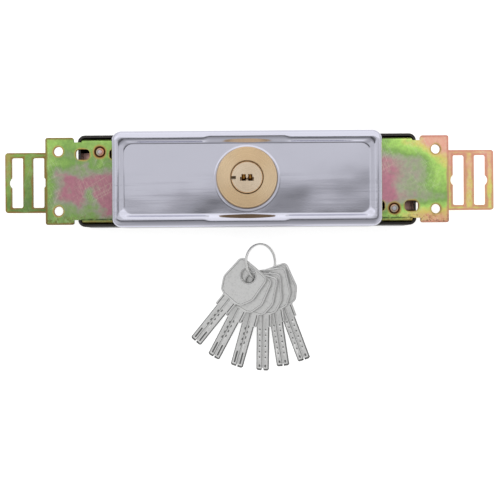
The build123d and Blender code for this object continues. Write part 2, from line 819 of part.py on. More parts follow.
# Outline of the bow, its hole at the origin and the blade towards -Y
with BuildSketch() as bow_outline:
    with BuildLine():
        right_side = [
            (bow_top_width / 2, bow_hole_inset),
            (bow_width / 2, bow_hole_inset - bow_side),
            (bow_shoulder_width / 2, bow_end_y + bow_shoulder),
            (fin_half_width, bow_end_y),
        ]
        left_side = [(-x, y) for x, y in reversed(right_side)]
        Polyline(*right_side, *left_side, close=True)
    make_face()
    fillet(bow_outline.vertices().group_by(Axis.Y)[2], bow_side_round)
    fillet(bow_outline.vertices().group_by(Axis.Y)[1], bow_corner)
    fillet(bow_outline.vertices().group_by(Axis.Y)[-1], bow_corner)

# Field inside the raised rim of the bow
with BuildSketch() as bow_field:
    add(bow_outline.sketch)
    offset(amount=-bow_rim, mode=Mode.REPLACE)
    Circle(bow_hole_radius + bow_rim / 2, mode=Mode.SUBTRACT)


def fan_directions(lean):
    # unit vectors of a key in the shared slope: across the key, and the normal of its flat side
    normal = Vector(-fan_slope_x, -fan_slope_y, 1).normalized()
    run_x = cos(radians(lean))
    run_y = -sin(radians(lean))
    across = Vector(run_x, run_y, fan_slope_x * run_x + fan_slope_y * run_y).normalized()
    return across, normal


def fan_rise(index):
    # height of a key's hole over the hole of a key at the origin on the lowest level
    level_step = level_height * sqrt(1 + fan_slope_x**2 + fan_slope_y**2)
    steps = len(fan_lean) - 1 - index
    return steps * level_step + fan_slope_x * fan_hole_x[index] + fan_slope_y * fan_hole_y[index]


def lowest_tip():
    # lowest corner of all the tips, with the fan at height zero
    corners = []
    for index, lean in enumerate(fan_lean):
        across, normal = fan_directions(lean)
        along = normal.cross(across)
        for side in (-blade_width / 2, blade_width / 2):
            corner = across * side + along * tip_y - normal * (key_thickness / 2)
            corners.append(fan_rise(index) + corner.Z)
    return min(corners)


def fan_plane(index):
    # plane through the middle of a key, its origin in the hole
    across, normal = fan_directions(fan_lean[index])
    height = fan_rise(index) - lowest_tip()
    return Plane((fan_hole_x[index], fan_hole_y[index], height), x_dir=across, z_dir=normal)


def key(middle):
    # flat key with a rimmed bow, two fins and a groove along each side of the blade
    half = key_thickness / 2
    with BuildPart() as flat_key:
        with BuildSketch(middle.offset(-half)):
            add(bow_outline.sketch)
            with Locations((0, bow_end_y + 1)):
                blade_size = (blade_width, blade_length + 1)
                Rectangle(*blade_size, align=(Align.CENTER, Align.MAX))
                Rectangle(2 * fin_half_width, blade_fin_length + 1, align=(Align.CENTER, Align.MAX))
            Circle(bow_hole_radius, mode=Mode.SUBTRACT)
        extrude(amount=key_thickness)
        tip_edges = [
            edge
            for edge in flat_key.edges()
            if abs(middle.to_local_coords(edge.center()).Y - tip_y) < 0.01
            and abs(edge.length - key_thickness) < 0.01
        ]
        chamfer(tip_edges, blade_tip_corner)
        for face in (half, -half):
            cut = -bow_field_depth if face > 0 else bow_field_depth
            with BuildSketch(middle.offset(face)):
                add(bow_field.sketch)
            extrude(amount=cut, mode=Mode.SUBTRACT)
            groove = -blade_groove_depth if face > 0 else blade_groove_depth
            with BuildSketch(middle.offset(face)):
                with Locations((0, bow_end_y)):
                    Rectangle(groove_width, 2 * blade_length, align=(Align.CENTER, Align.MAX))
            extrude(amount=groove, mode=Mode.SUBTRACT)
    return flat_key.part


for index in range(len(fan_lean)):
    save(f"key_{index + 1}", key(fan_plane(index)))

# Ring: its left side stands higher, over the top key, and its right side passes under the lowest
ring_tilt = degrees(asin(ring_climb / ring_radius))
ring_height = ring_wire_radius + ring_climb + ring_lift
ring_axis = Vector(sin(radians(ring_tilt)), 0, cos(radians(ring_tilt))).rotate(Axis.Z, ring_turn)
ring_side = Vector(0, 1, 0).rotate(Axis.Z, ring_turn)
with BuildPart() as key_ring:
    ring_plane = Plane((ring_x, ring_y, ring_height), x_dir=ring_side, z_dir=ring_axis)
    with BuildSketch(Plane(ring_plane.origin, x_dir=ring_side, z_dir=ring_axis.cross(ring_side))):
        with Locations((ring_radius, 0)):
            Circle(ring_wire_radius)
    revolve(axis=Axis(ring_plane.origin, ring_axis))
save("key_ring", key_ring.part)
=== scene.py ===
import json
from functools import partial
from math import atan2, copysign, cos, pi, radians, sin, tan

import bmesh
import bpy
from mathutils import Matrix, Vector


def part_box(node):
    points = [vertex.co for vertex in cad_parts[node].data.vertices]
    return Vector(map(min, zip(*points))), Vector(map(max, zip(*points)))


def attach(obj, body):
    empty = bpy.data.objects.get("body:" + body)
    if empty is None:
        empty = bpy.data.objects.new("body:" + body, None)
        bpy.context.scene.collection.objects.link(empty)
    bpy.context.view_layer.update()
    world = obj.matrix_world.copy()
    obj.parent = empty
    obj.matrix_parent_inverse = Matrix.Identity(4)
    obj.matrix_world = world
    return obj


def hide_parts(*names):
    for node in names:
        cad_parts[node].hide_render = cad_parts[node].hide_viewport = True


bl_info = {
    "name": "Garage door lock",
    "version": (1, 0, 0),
    "blender": (4, 5, 0),
    "location": "3D Viewport > Sidebar > Door lock",
    "description": "Dresses the packed garage door lock with its finishes, keys and studio",
    "category": "Object",
}

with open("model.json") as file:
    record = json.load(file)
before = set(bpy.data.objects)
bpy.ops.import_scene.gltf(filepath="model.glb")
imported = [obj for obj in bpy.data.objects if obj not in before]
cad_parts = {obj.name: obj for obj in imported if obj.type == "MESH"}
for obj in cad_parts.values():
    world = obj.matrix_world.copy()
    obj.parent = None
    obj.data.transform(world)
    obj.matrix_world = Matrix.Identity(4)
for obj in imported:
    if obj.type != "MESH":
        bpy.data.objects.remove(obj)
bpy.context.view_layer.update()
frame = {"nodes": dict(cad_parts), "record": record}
nodes = frame["nodes"]
behaviour = frame["record"]["behaviour"]
joints = {joint["name"]: joint for joint in behaviour["joints"]}
body_of = {node: body for body, group in behaviour["bodies"].items() for node in group}

MM = 0.001
KEYS = tuple(f"key_{number}" for number in range(1, 7))
# Keys that lie with their coded side down
TURNED_KEYS = KEYS[:3]


def tint(code):
    """Linear colour of a finish chip written as hexadecimal sRGB."""
    levels = [int(code[start:start + 2], 16) / 255 for start in (0, 2, 4)]
    return tuple(level / 12.92 if level <= 0.04045 else ((level + 0.055) / 1.055) ** 2.4
                 for level in levels)


def colour_setting(name, description, code):
    """A colour that a user may change."""
    return bpy.props.FloatVectorProperty(
        name=name, description=description, subtype="COLOR", min=0, max=1, default=tint(code))


def number_setting(name, description, default, **kind):
    """A number that a user may change."""
    return bpy.props.FloatProperty(name=name, description=description, default=default, **kind)


def length_setting(name, description, millimetres):
    """A length that a user may change."""
    return number_setting(name, description, millimetres * MM, unit="LENGTH")


class DoorLockShape(bpy.types.PropertyGroup):
    """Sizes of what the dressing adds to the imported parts."""

    sheet_edge: length_setting("Sheet edge", "Roll left by the press along sheet edges", 0.3)
    paint_edge: length_setting("Paint edge", "Rounding of the painted tray's edges", 0.5)
    turned_edge: length_setting("Turned edge", "Broken edge of small turned and sawn parts", 0.12)
    cover_wall: length_setting("Cover wall", "Thickness of the pressed cover", 0.7)
    cover_roll: length_setting("Cover roll", "Radius of the cover's outer edge", 3.7)
    cover_rim: length_setting("Cover rim", "Width of the raised rim round the panel", 4.6)
    cover_slope: length_setting("Cover slope", "Width of the slope down to the panel", 2.8)
    cover_long_rim: length_setting(
        "Cover long rim", "How much wider the rim is on the long sides", 1.3)
    cover_recess: length_setting("Cover recess", "Depth of the panel under the rim", 1.8)
    seat_radius: length_setting("Seat radius", "Radius of the low seat under the cylinder", 19.7)
    seat_height: length_setting("Seat height", "Height of the seat over the panel", 0.9)
    ring_wire: length_setting("Ring wire", "Radius of the key ring's double wire", 0.75)


class DoorLockFinish(bpy.types.PropertyGroup):
    """Colours of the finishes."""

    zinc_mauve: colour_setting("Zinc mauve", "Pink field of the yellow zinc coat", "b07886")
    zinc_grey: colour_setting("Zinc grey", "Grey-green change of the zinc coat", "9b9c88")
    zinc_green: colour_setting("Zinc green", "Green band of the zinc coat", "7da357")
    zinc_lime: colour_setting("Zinc lime", "Bright yellow-green band of the zinc coat", "a4cb68")
    zinc_gold: colour_setting("Zinc gold", "Straw gold band of the zinc coat", "d2bf6c")
    zinc_salmon: colour_setting("Zinc salmon", "Orange-pink band of the zinc coat", "e8a08c")
    zinc_rust: colour_setting("Zinc edge", "Brown-orange of punched edges", "a8703c")
    chrome: colour_setting("Chrome", "Polished chrome of the cover", "dbdbe9")
    brass: colour_setting("Brass", "Satin brass of the cylinder", "ffe2ba")
    pin_brass: colour_setting("Pin brass", "Bright brass of the pins", "f0c878")
    nickel: colour_setting("Nickel", "Nickel plate of the keys", "f0f0ef")
    steel: colour_setting("Spring steel", "Steel of the springs", "8f8e8c")
    # Also used for painted shade on the bevelled edges of the keys
    milled: colour_setting("Milled nickel", "Grey of what is milled into the key blades", "8a8a89")
    plain_zinc: colour_setting("Plain zinc", "Clear zinc of the nut and the drive", "b9bcc0")
    paint: colour_setting("Paint", "Black enamel of the tray", "1a1207")


class DoorLockStudio(bpy.types.PropertyGroup):
    """Camera, floor and lamps."""

    camera_x: length_setting("Camera X", "Camera's place along the lock", 1.5)
    camera_y: length_setting("Camera Y", "Camera's place across the lock", -43.4)
    camera_height: length_setting("Camera height", "Height of the camera over the floor", 504.0)
    camera_lens: number_setting("Lens", "Focal length of the camera", 55.74, unit="CAMERA")
    camera_roll: number_setting(
        "Camera roll", "Turn of the camera about its line of sight", radians(-0.4), subtype="ANGLE")
    floor_size: number_setting("Floor size", "Side of the square floor", 8.0, unit="LENGTH")
    key_power: number_setting(
        "Key lamp", "Power of the large lamp beyond the lock", 5.5, unit="POWER")
    side_power: number_setting("Side lamp", "Power of the lamp at the left", 2.0, unit="POWER")
    sky: number_setting("Sky", "Brightness of the room round the lock", 1.0, min=0)


SETTINGS = {
    "door_lock_shape": DoorLockShape,
    "door_lock_finish": DoorLockFinish,
    "door_lock_studio": DoorLockStudio,
}


# Node graphs

class Value:
    """An output in a node tree that can be reckoned with like a number."""

    def __init__(self, nodes, socket):
        self.nodes = nodes
        self.socket = socket

    def __add__(self, other):
        return self.nodes.math("ADD", self, other)

    def __sub__(self, other):
        return self.nodes.math("SUBTRACT", self, other)

    def __mul__(self, other):
        return self.nodes.math("MULTIPLY", self, other)

    def __abs__(self):
        return self.nodes.math("ABSOLUTE", self)

    def scaled(self, factor, start):
        """The value times the factor, counted from the start."""
        return self.nodes.math("MULTIPLY_ADD", self, factor, start)

    def highest(self, other):
        """The higher of the two."""
        return self.nodes.math("MAXIMUM", self, other)

    def past(self, middle, half):
        """How far the value lies outside the span round a middle."""
        return abs(self - middle) - half

    def step(self, low, high, start=0.0, end=1.0):
        """Smooth change from start to end while the value goes from low to high."""
        return self.nodes.value("ShaderNodeMapRange", self, low, high, start, end,
                                interpolation_type="SMOOTHSTEP")


class Nodes:
    """A node tree, with short ways to wire it."""

    def __init__(self, tree):
        self.tree = tree

    def node(self, kind, *values, **settings):
        """A new node, its first inputs fed with numbers, colours or values."""
        made = self.tree.nodes.new(kind)
        for key, value in settings.items():
            setattr(made, key, value)
        for socket, value in zip(made.inputs, values):
            self.feed(socket, value)
        return made

    def feed(self, socket, value):
        """Links a value to a socket, or sets the socket's own, and skips None."""
        if isinstance(value, Value):
            self.tree.links.new(value.socket, socket)
        elif value is not None:
            if socket.type == "RGBA" and len(value) == 3:
                value = (*value, 1)
            socket.default_value = value

    def value(self, kind, *values, output=0, **settings):
        """An output of a new node."""
        return Value(self, self.node(kind, *values, **settings).outputs[output])

    def math(self, operation, *values):
        """Result of a math node."""
        return self.value("ShaderNodeMath", *values, operation=operation)

    def split(self, place):
        """The x, y and z of a place."""
        axes = self.node("ShaderNodeSeparateXYZ", place).outputs
        return [Value(self, axis) for axis in axes]

    def distance(self, x, y):
        """Distance of the point (x, y) from the origin."""
        point = self.value("ShaderNodeCombineXYZ", x, y)
        return self.value("ShaderNodeVectorMath", point, output="Value", operation="LENGTH")

    def rays(self, *kinds):
        """Whether a ray is of each of the kinds."""
        path = self.node("ShaderNodeLightPath").outputs
        return [Value(self, path[f"Is {kind} Ray"]) for kind in kinds]


class Finish(Nodes):
    """A principled material with its colours and textures, x, y and z in millimetres."""

    def __init__(self, name, metallic, roughness, **extra):
        self.material = bpy.data.materials.new(f"{name}_finish")
        self.material.use_nodes = True
        super().__init__(self.material.node_tree)
        self.shader = self.tree.nodes["Principled BSDF"]
        self.set(Metallic=metallic, Roughness=roughness, **extra)
        self.place = self.value("ShaderNodeTexCoord", output="Object")
        self.x, self.y, self.z = (axis * (1 / MM) for axis in self.split(self.place))

    def set(self, **values):
        """Feeds sockets of the shader by name."""
        for socket, value in values.items():
            self.feed(self.shader.inputs[socket.replace("_", " ")], value)

    def mix(self, factor, first, second, blend="MIX"):
        """Mix of two colours."""
        made = self.node("ShaderNodeMix", data_type="RGBA", blend_type=blend)
        for index, value in ((0, factor), (6, first), (7, second)):
            self.feed(made.inputs[index], value)
        return Value(self, made.outputs[2])

    def layered(self, colour, *layers):
        """The colour under layers of (share, colour)."""
        for share, layer in layers:
            colour = self.mix(share, colour, layer)
        return colour

    def ramp(self, factor, *stops):
        """Colour ramp through (position, colour) stops."""
        made = self.node("ShaderNodeValToRGB", factor)
        elements = made.color_ramp.elements
        elements.remove(elements[-1])
        for index, (position, colour) in enumerate(stops):
            element = elements.new(position) if index else elements[0]
            element.position = position
            element.color = (*colour, 1)
        return Value(self, made.outputs[0])

    def stretched(self, scale, turn=0.0):
        """Object coordinates turned about Z and then scaled along each axis."""
        return self.value("ShaderNodeMapping", self.place, None, (0, 0, turn),
                          tuple(1 / factor for factor in scale), vector_type="TEXTURE")

    def noise(self, scale, detail=3.0, roughness=0.5, place=None):
        """Noise from 0 to 1 at so many features a metre."""
        place = place or self.place
        return self.value("ShaderNodeTexNoise", place, None, scale, detail, roughness)

    def bump(self, height, strength, distance):
        """Feeds the shader's normal with a bump of the height, in metres."""
        made = self.node("ShaderNodeBump", strength, distance)
        self.feed(made.inputs["Height"], height)
        self.set(Normal=Value(self, made.outputs[0]))


# Finishes

# Millimetres on the plate and the tongues
EAR_HOLE = (117.0, 18.5)
EAR_HOLE_RADIUS = 2.9
RIVET = (91.2, -18.1)
# Middle X, half of the straight part, end radius and middle Y of the windows and the rivet's seat
PLATE_OPENINGS = (
    (101.9, 1.05, 3.25, -16.55), (81.0, 1.05, 3.25, -16.55), (RIVET[0], 0.0, 3.6, RIVET[1]))
PLATE_HALF = (125, 27)
PLATE_BEND = 23.9
# Side, X of the end, and how far the outer slot lies inside it
TONGUE_ENDS = ((-1, 153.1, 4.0), (1, 155.9, 5.0))
TONGUE_HALF = (30, 19)
SLOT_HALF = (3.65, 15.8)
SLOT_STEP = 13.4
# How far the borders of the fields on the plate wander
FIELD_WAVE = 26.0
# Middle X and half sizes of the index line
INDEX_LINE = (-8, 1.4, 0.7)
# Depth of the coat's grain
FINE_GRAIN = 0.05 * MM


def brighter(colour, factor):
    """The colour with its levels multiplied."""
    return tuple(min(1.0, level * factor) for level in colour)


def paler(colour, share):
    """The colour mixed with white."""
    return tuple(level + (1 - level) * share for level in colour)


def deeper(colour, power, factor):
    """The colour made stronger by a power, and its levels multiplied."""
    return tuple(level**power * factor for level in colour)


def scratches(finish, turn):
    """Sparse fine lines, as 0 or 1 with soft sides."""
    lines = finish.noise(1.0, 2.0, 0.5, finish.stretched((30, 2600, 30), turn))
    return lines.step(0.62, 0.655) * finish.noise(60, 2.0).step(0.42, 0.6)


def zinc_finish(name, colours, thickness, levels):
    """Yellow zinc whose colour follows the thickness of its film; thickness(finish) gives it.

    The levels are its brightness at the left and at the right end.
    """
    finish = Finish(name, 0.55, 0.36)
    film = thickness(finish)
    for scale, amount in ((30, 0.6), (110, 0.3), (520, 0.16)):
        film = (finish.noise(scale, 3.0, 0.6) - 0.5).scaled(amount, film)
    colour = finish.ramp(
        film,
        (0.0, colours.zinc_mauve),
        (0.14, colours.zinc_mauve),
        (0.30, colours.zinc_grey),
        (0.46, colours.zinc_green),
        (0.64, colours.zinc_lime),
        (0.82, colours.zinc_gold),
        (1.0, colours.zinc_salmon),
    )
    scratched = brighter(colours.zinc_grey, 1.9)
    colour = finish.layered(colour, *(
        (scratches(finish, turn) * 0.28, scratched) for turn in (0.5, -0.9, 1.9, 1.2)))
    # The coat is brighter towards the right, and mottled all over
    mottle = finish.noise(420, 3.0, 0.65).step(0.3, 0.7, 0.92, 1.08)
    colour = finish.mix(1.0, colour, finish.x.step(-60, 95, *levels) * mottle, "MULTIPLY")
    finish.set(Roughness=finish.noise(120).step(0.3, 0.7, 0.30, 0.42))
    finish.bump(finish.noise(900, 2.0, 0.6), 0.25, FINE_GRAIN)
    return finish, colour


def plate_thickness(finish):
    """Film on the front plate: thin beside the cover, thicker to the edges and to the right."""
    x, y = finish.x, finish.y
    # At the left a thin field with wavy borders that widens towards the cover, and a spot in it
    along, over = (finish.noise(scale).scaled(FIELD_WAVE, axis - FIELD_WAVE / 2)
                   for axis, scale in ((x, 62), (y, 84)))
    past_cover = along + 88
    field = (past_cover.scaled(-0.18, over).step(1, 17, 0.0, 0.45)
             + past_cover.scaled(0.32, over).step(-28, -12, 0.43, 0.0)
             + finish.distance(along + 97, over + 12).step(1, 10, 0.3, 0.0))
    field = field.highest(along.step(-125, -104, 0.47, 0.0)) + y.step(16, 24, 0.0, 0.12)
    # At the right the upper and lower edges, the lower corner and the upper end are thicker
    return (x.step(78, 100, 0.02, 0.27) + x.step(104, 118, 0.0, 0.18)
            + field * x.step(-60, -40, 1.0, 0.0)
            + abs(y).step(10, 23) * x.step(40, 60, 0.0, 0.38)
            + x.step(95, 110) * y.step(-24, -14, 0.15, 0.0)
            + y.scaled(0.45, x).step(112, 136, 0.0, 0.40))


def tongue_thickness(finish):
    """Film on the tongues: green on the left one, gold and salmon on the right one."""
    return (finish.x.step(-10, 10, 0.56, 0.90) + finish.x.step(-154, -146, 0.14, 0.0)
            + finish.y.step(-19, 19, -0.08, 0.08) + abs(finish.x).step(106, 112, -0.9, 0.0))


def past_box(finish, middle_x, half_x, half_y):
    """How far a point lies outside a box centred on the X axis, in millimetres."""
    return finish.x.past(middle_x, half_x).highest(finish.y.past(0, half_y))


def tongue_gap(finish):
    """Distance in millimetres from the nearest sheared edge of a tongue."""
    sides = []
    for side, reach, inset in TONGUE_ENDS:
        gap = past_box(finish, side * (reach - TONGUE_HALF[0]), *TONGUE_HALF) * -1
        outer = reach - inset - SLOT_HALF[0]
        for place in (outer, outer - SLOT_STEP):
            gap = finish.math("MINIMUM", gap, past_box(finish, side * place, *SLOT_HALF))
        sides.append(gap)
    return finish.value("ShaderNodeMix", finish.x.step(-10, 10), None, *sides)


def hole_gap(finish):
    """Distance in millimetres from the nearest punched hole or rivet seat of the plate."""
    along = abs(finish.x)
    turned = finish.y * finish.math("SIGN", finish.x)
    gap = finish.distance(along - EAR_HOLE[0], abs(finish.y) - EAR_HOLE[1]) - EAR_HOLE_RADIUS
    for middle_x, half, radius, middle_y in PLATE_OPENINGS:
        beside = along.past(middle_x, half).highest(0)
        away = finish.distance(beside, turned - middle_y) - radius
        gap = finish.math("MINIMUM", gap, away)
    return gap


def plate_zinc(name, colours):
    """The front plate, stained round its holes and edges, with painted shade in its holes and along
    its lower bend, and brown patches towards the bottom.
    """
    finish, colour = zinc_finish(name, colours, plate_thickness, (1.27, 1.70))
    gap = hole_gap(finish)
    waver = finish.noise(260, 2.0).scaled(-1.3, gap)
    # Stained rims round the ears, brown patches that grow towards the lower edge, a dark line of
    # painted shade along the lower bend, and a brighter gold strip below it
    rim = finish.noise(160, 2.0).scaled(1.5, past_box(finish, 0, *PLATE_HALF))
    rim_colour = finish.mix(finish.x.step(-20, 20), brighter(colours.zinc_rust, 0.8),
                            brighter(colours.zinc_salmon, 0.9))
    brown_patches_low = finish.noise(420, 3.0, 0.7).step(0.46, 0.62) * finish.y.step(-27, -17, 0.7, 0.0)
    on_box = abs(finish.x).step(102, 104, 0.75, 0.0)
    line = (abs(finish.y + PLATE_BEND).step(0.2, 0.8, 1.0, 0.0) * on_box
            * finish.noise(300).step(0.35, 0.55, 0.4, 1.0))
    bright = finish.y.step(-24.9, -24.3, 0.7, 0.0) * on_box
    finish.set(Base_Color=finish.layered(
        colour,
        (waver.step(-0.3, 0.8, 0.8, 0.0), colours.zinc_gold),
        (waver.step(-0.8, 0.0, 0.85, 0.0), brighter(colours.zinc_rust, 1.25)),
        # Painted shade: near-black on the walls of the holes and windows and in the rivet seats
        (gap.step(-0.25, 0.05, 0.85, 0.0), brighter(colours.zinc_rust, 0.16)),
        (rim.step(-1.1, 0.4, 0.0, 0.8), rim_colour),
        (brown_patches_low, brighter(colours.zinc_rust, 0.4)),
        (line, brighter(colours.zinc_green, 0.12)),
        (bright, brighter(colours.zinc_gold, 1.1))))
    return finish


def tongue_zinc(name, colours):
    """The tongues, stained along their sheared edges, more widely on the right one."""
    finish, colour = zinc_finish(name, colours, tongue_thickness, (0.86, 1.76))
    waver = (finish.noise(130).scaled(-3.2, tongue_gap(finish))
             + finish.x.step(-20, 20, 0.7, 0.1))
    rim_colour = finish.mix(finish.x.step(-20, 20), colours.zinc_rust,
                            brighter(colours.zinc_salmon, 1.15))
    # Painted light: the stop tabs behind the windows are painted pale so that they look lit, though
    # they lie in the plate's shadow
    painted_tab_light = abs(finish.x).step(104, 106, 1.0, 0.0)
    finish.set(Base_Color=finish.layered(
        colour, (waver.step(-0.9, 0.5, 0.8, 0.0), rim_colour),
        (painted_tab_light, paler(colours.zinc_salmon, 0.25))))
    return finish


def rivet_zinc(name, colours):
    """The rivets beside the windows: pinkish silver with a gold rim, a painted dark ring on the
    rolled end and painted shadow at the edge of the head.
    """
    finish = Finish(name, 0.8, 0.32)
    away = finish.distance(abs(finish.x) - RIVET[0],
                           finish.y.scaled(finish.math("SIGN", finish.x), -RIVET[1]))
    silver = finish.mix(finish.noise(240).step(0.35, 0.65), brighter(colours.plain_zinc, 1.25),
                        brighter(colours.zinc_salmon, 1.1))
    # From the middle out, a quarter for each millimetre: white, a painted dark ring on the rolled
    # end, a light ring, the gold rim, and painted shadow at the head's edge
    rings = finish.ramp(away * 0.25, (0.30, (1, 1, 1)), (0.36, (0.25, 0.2, 0.16)),
                        (0.42, (0.9, 0.85, 0.7)), (0.58, (0.95, 0.8, 0.5)), (0.66, (0.3, 0.2, 0.1)))
    finish.set(Base_Color=finish.mix(1.0, silver, rings, "MULTIPLY"))
    finish.bump(finish.noise(1500, 2.0), 0.3, FINE_GRAIN)
    return finish


def edge_zinc(name, colours):
    """Punched and sheared edges, where the coat dries brown and orange."""
    finish = Finish(name, 0.55, 0.42)
    finish.set(Base_Color=finish.ramp(
        finish.noise(140), (0.3, colours.zinc_rust), (0.55, colours.zinc_gold),
        (0.8, colours.zinc_green)))
    finish.bump(finish.noise(1500, 2.0), 0.3, FINE_GRAIN)
    return finish


def black_enamel(name, colours):
    """The tray's paint, rubbed thin in places."""
    finish = Finish(name, 0.0, 0.3, Coat_Weight=0.35, Coat_Roughness=0.12)
    worn = finish.noise(220, 4.0, 0.6).step(0.60, 0.74)
    finish.set(Base_Color=finish.mix(worn, colours.paint, brighter(colours.paint, 3.2)),
               Roughness=finish.noise(70).step(0.3, 0.7, 0.24, 0.4))
    finish.bump(finish.noise(700, 1.0), 0.2, 0.06 * MM)
    return finish


def cover_chrome(name, colours):
    """Pressed, polished and plated: clear reflections with a faint haze and long wipe marks."""
    finish = Finish(name, 1.0, 0.12)
    wipes = finish.noise(1.0, 4.0, 0.6, finish.stretched((16, 420, 16)))
    streaks = wipes.step(0.45, 0.7) * finish.y.step(-2, 6, 1.0, 0.0)
    haze = finish.noise(22, 3.0, 0.6).step(0.3, 0.75, 0.07, 0.15)
    wiped = brighter(colours.chrome, 0.72)
    finish.set(Base_Color=finish.mix(streaks * 0.22, colours.chrome, wiped),
               Roughness=haze + streaks * 0.08)
    # Slow waves left by the press, with a fine grain on them
    finish.bump(finish.noise(17, 2.0) + finish.noise(2200, 2.0) * 0.006, 0.5, 2.4 * MM)
    return finish


def turned_finish(name, colour, roughness, inner, outer, radial=0.5, sheen=0.55):
    """Metal turned on the Z axis: fine rings and a painted sheen that fans out from the middle.

    Inside the inner radius, in millimetres, it is darkened with painted shade, and outside the
    outer one darkened with painted shade, most at the lower right.
    """
    finish = Finish(name, 0.8, roughness, Anisotropic=radial)
    radius = finish.distance(finish.x, finish.y)
    at_radius = finish.value("ShaderNodeCombineXYZ", radius, finish.z * 0.5)
    grooves = finish.noise(5.5, 4.0, 0.7, at_radius)
    # Painted sheen of a turned face: two bright and two dull sectors
    turn = finish.math("ARCTAN2", finish.y, finish.x)
    fan = finish.noise(24, 2.0).scaled(0.8, finish.math("COSINE", turn.scaled(2.0, 0.5)))
    # Painted shade on the flank outside the face, darker at the lower right
    lower_right = finish.x.scaled(0.6, finish.y * -1)
    flank = radius.step(outer - 0.15, outer + 0.1) * lower_right.step(-6, 4, 0.3, 0.85)
    # Painted shade in the gap round the plug and in the short index line at its left
    painted_recess_shade = radius.step(inner - 0.15, inner + 0.2, 1.0, 0.0).highest(
        past_box(finish, *INDEX_LINE).step(-0.1, 0.1, 1.0, 0.0))
    finish.set(
        Base_Color=finish.layered(
            colour,
            (finish.noise(90).step(0.42, 0.72, 0.0, 0.4), brighter(colour, 0.82)),
            (fan.step(-0.4, 1.6, sheen, 0.0), deeper(colour, 1.35, 0.86)),
            (flank, deeper(colour, 1.7, 0.22)),
            (painted_recess_shade, deeper(colour, 2.2, 0.1))),
        Roughness=grooves.step(0.3, 0.7, roughness * 0.85, roughness * 1.15),
        Tangent=finish.value("ShaderNodeTangent", direction_type="RADIAL", axis="Z"))
    finish.bump(grooves, 0.25, 0.04 * MM)
    return finish


def plated_finish(name, colours, setting, roughness, grain_scale=1400, dents=0.0, stain_scale=160,
                  metallic=1.0):
    """Small plated or bright steel parts: fine grain, darker stains, rubbed lines."""
    colour = getattr(colours, setting)
    finish = Finish(name, metallic, roughness)
    stain = finish.noise(stain_scale, 4.0, 0.6)
    finish.set(
        Base_Color=finish.layered(
            colour, (stain.step(0.45, 0.75, 0.0, 0.5), brighter(colour, 0.7)),
            (scratches(finish, 1.1) * 0.5, brighter(colour, 1.3))),
        Roughness=stain.step(0.3, 0.7, roughness * 0.85, roughness * 1.2))
    height = finish.noise(grain_scale, 2.0)
    if dents:
        height = height + finish.noise(260, 2.0) * dents
    finish.bump(height, 0.3, 0.04 * MM)
    return finish


MAKERS = {
    "black_paint": black_enamel,
    "yellow_zinc": plate_zinc,
    "zinc_tongue": tongue_zinc,
    "zinc_edge": edge_zinc,
    "rivet_zinc": rivet_zinc,
    "polished_chrome": cover_chrome,
    "satin_brass": lambda name, colours: turned_finish(
        name, brighter(colours.brass, 0.97), 0.30, inner=9.9, outer=17.95),
    "turned_brass": lambda name, colours: turned_finish(
        name, paler(colours.brass, 0.25), 0.26, inner=0.0, outer=9.45, radial=0.6, sheen=0.3),
    "pin_brass": partial(plated_finish, setting="pin_brass", roughness=0.25),
    "spring_steel": partial(plated_finish, setting="steel", roughness=0.28),
    "plain_zinc": partial(plated_finish, setting="plain_zinc", roughness=0.33, grain_scale=900),
    "nickel_key": partial(plated_finish, setting="nickel", roughness=0.33, grain_scale=1100,
                          dents=1.2, stain_scale=700, metallic=0.6),
    "milled_nickel": partial(plated_finish, setting="milled", roughness=0.4, grain_scale=1500),
    "nickel_wire": partial(plated_finish, setting="nickel", roughness=0.28, grain_scale=1800),
}


def finish_called(name):
    """The finish of that name, made when it is first asked for."""
    made = bpy.data.materials.get(f"{name}_finish")
    return made or MAKERS[name](name, bpy.context.scene.door_lock_finish).material


# Meshes

def linked(name, data):
    """A new object in the scene."""
    made = bpy.data.objects.new(name, data)
    bpy.context.scene.collection.objects.link(made)
    return made


def add_piece(mesh, node, slot, *finish_names):
    """Shows a mesh as the piece that stands for a node and rides on its body.

    Its finishes are those named, or else the one that is called like the slot.
    """
    piece = linked(f"{node}_shown", mesh)
    mesh.materials.clear()
    for finish_name in finish_names or (slot,):
        mesh.materials.append(finish_called(finish_name))
    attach(piece, body_of[node])
    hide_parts(node)
    return piece


def cleaned_copy(node):
    """Copy of a node's mesh with doubled points joined and flat areas in one face."""
    work = bmesh.new()
    work.from_mesh(nodes[node].data)
    bmesh.ops.remove_doubles(work, verts=work.verts, dist=0.001 * MM)
    bmesh.ops.dissolve_limit(work, angle_limit=radians(0.5), verts=work.verts, edges=work.edges)
    mesh = bpy.data.meshes.new(f"{node}_shown")
    work.to_mesh(mesh)
    work.free()
    return mesh


def smooth_by_angle(mesh, angle):
    """Smooth faces with sharp edges over the angle in degrees."""
    mesh.shade_smooth()
    mesh.set_sharp_from_angle(angle=radians(angle))


def softened_node(node, slot, width, *finish_names, steps=2):
    """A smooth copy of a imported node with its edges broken, and those in its last finish."""
    piece = add_piece(cleaned_copy(node), node, slot, *finish_names)
    bevel = piece.modifiers.new("edges", "BEVEL")
    bevel.width = width
    bevel.segments = steps
    bevel.limit_method = "ANGLE"
    bevel.angle_limit = radians(28)
    bevel.material = len(piece.data.materials) - 1
    bevel.miter_outer = "MITER_ARC"
    smooth_by_angle(piece.data, 60)
    weight = piece.modifiers.new("normals", "WEIGHTED_NORMAL")
    weight.keep_sharp = True
    return piece


def baked(piece):
    """Applies a piece's modifiers to its mesh."""
    view = bpy.context.evaluated_depsgraph_get()
    mesh = bpy.data.meshes.new_from_object(piece.evaluated_get(view))
    piece.modifiers.clear()
    piece.data = mesh


